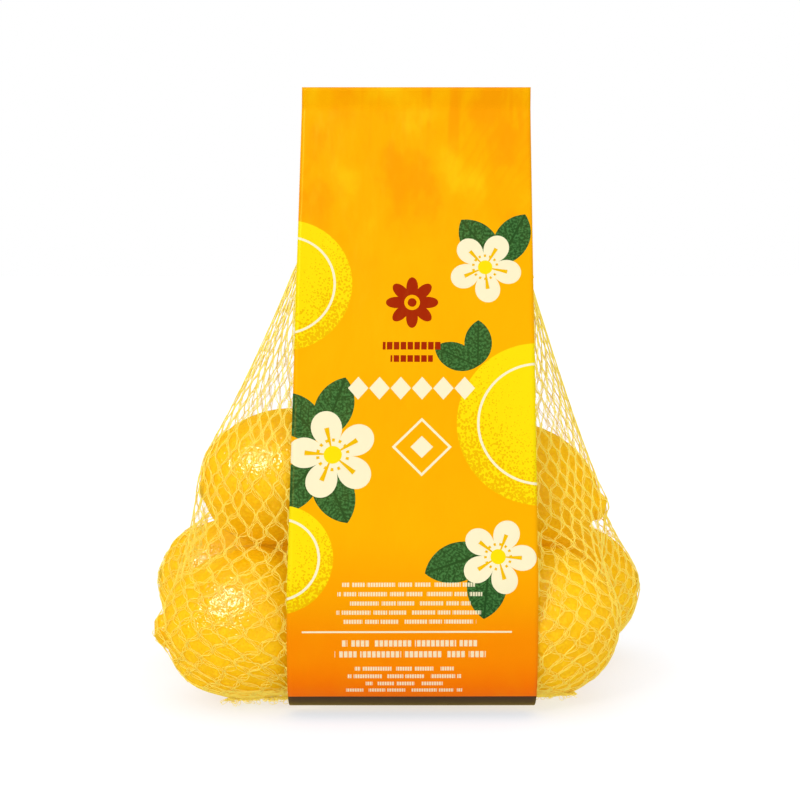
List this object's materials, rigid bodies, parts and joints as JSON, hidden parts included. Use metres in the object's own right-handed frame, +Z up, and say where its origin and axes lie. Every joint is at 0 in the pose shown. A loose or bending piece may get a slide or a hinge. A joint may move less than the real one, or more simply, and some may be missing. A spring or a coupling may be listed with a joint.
{
  "type": "net of lemons",
  "caption": "Standing net bag of lemons with a printed film panel front and back, joined in a flat header at the top, for grocery shelves and kitchen scenes.",
  "frame": {"origin": "middle of the bag's bounding box, on the surface that it stands on", "axes": "+Z up to the header, -Y out of the front panel, +X to the right as seen from the front"},
  "size_m": [0.2042, 0.121, 0.237],
  "materials": {
    "peel": "waxy pitted yellow peel",
    "strand": "fine see-through pale yellow knitted strand",
    "film": "orange printed film with a soft gloss"
  },
  "bodies": {
    "root": {"net_of_lemons": "peel", "panel_front": "film", "panel_back": "film"}
  },
  "joints": []
}
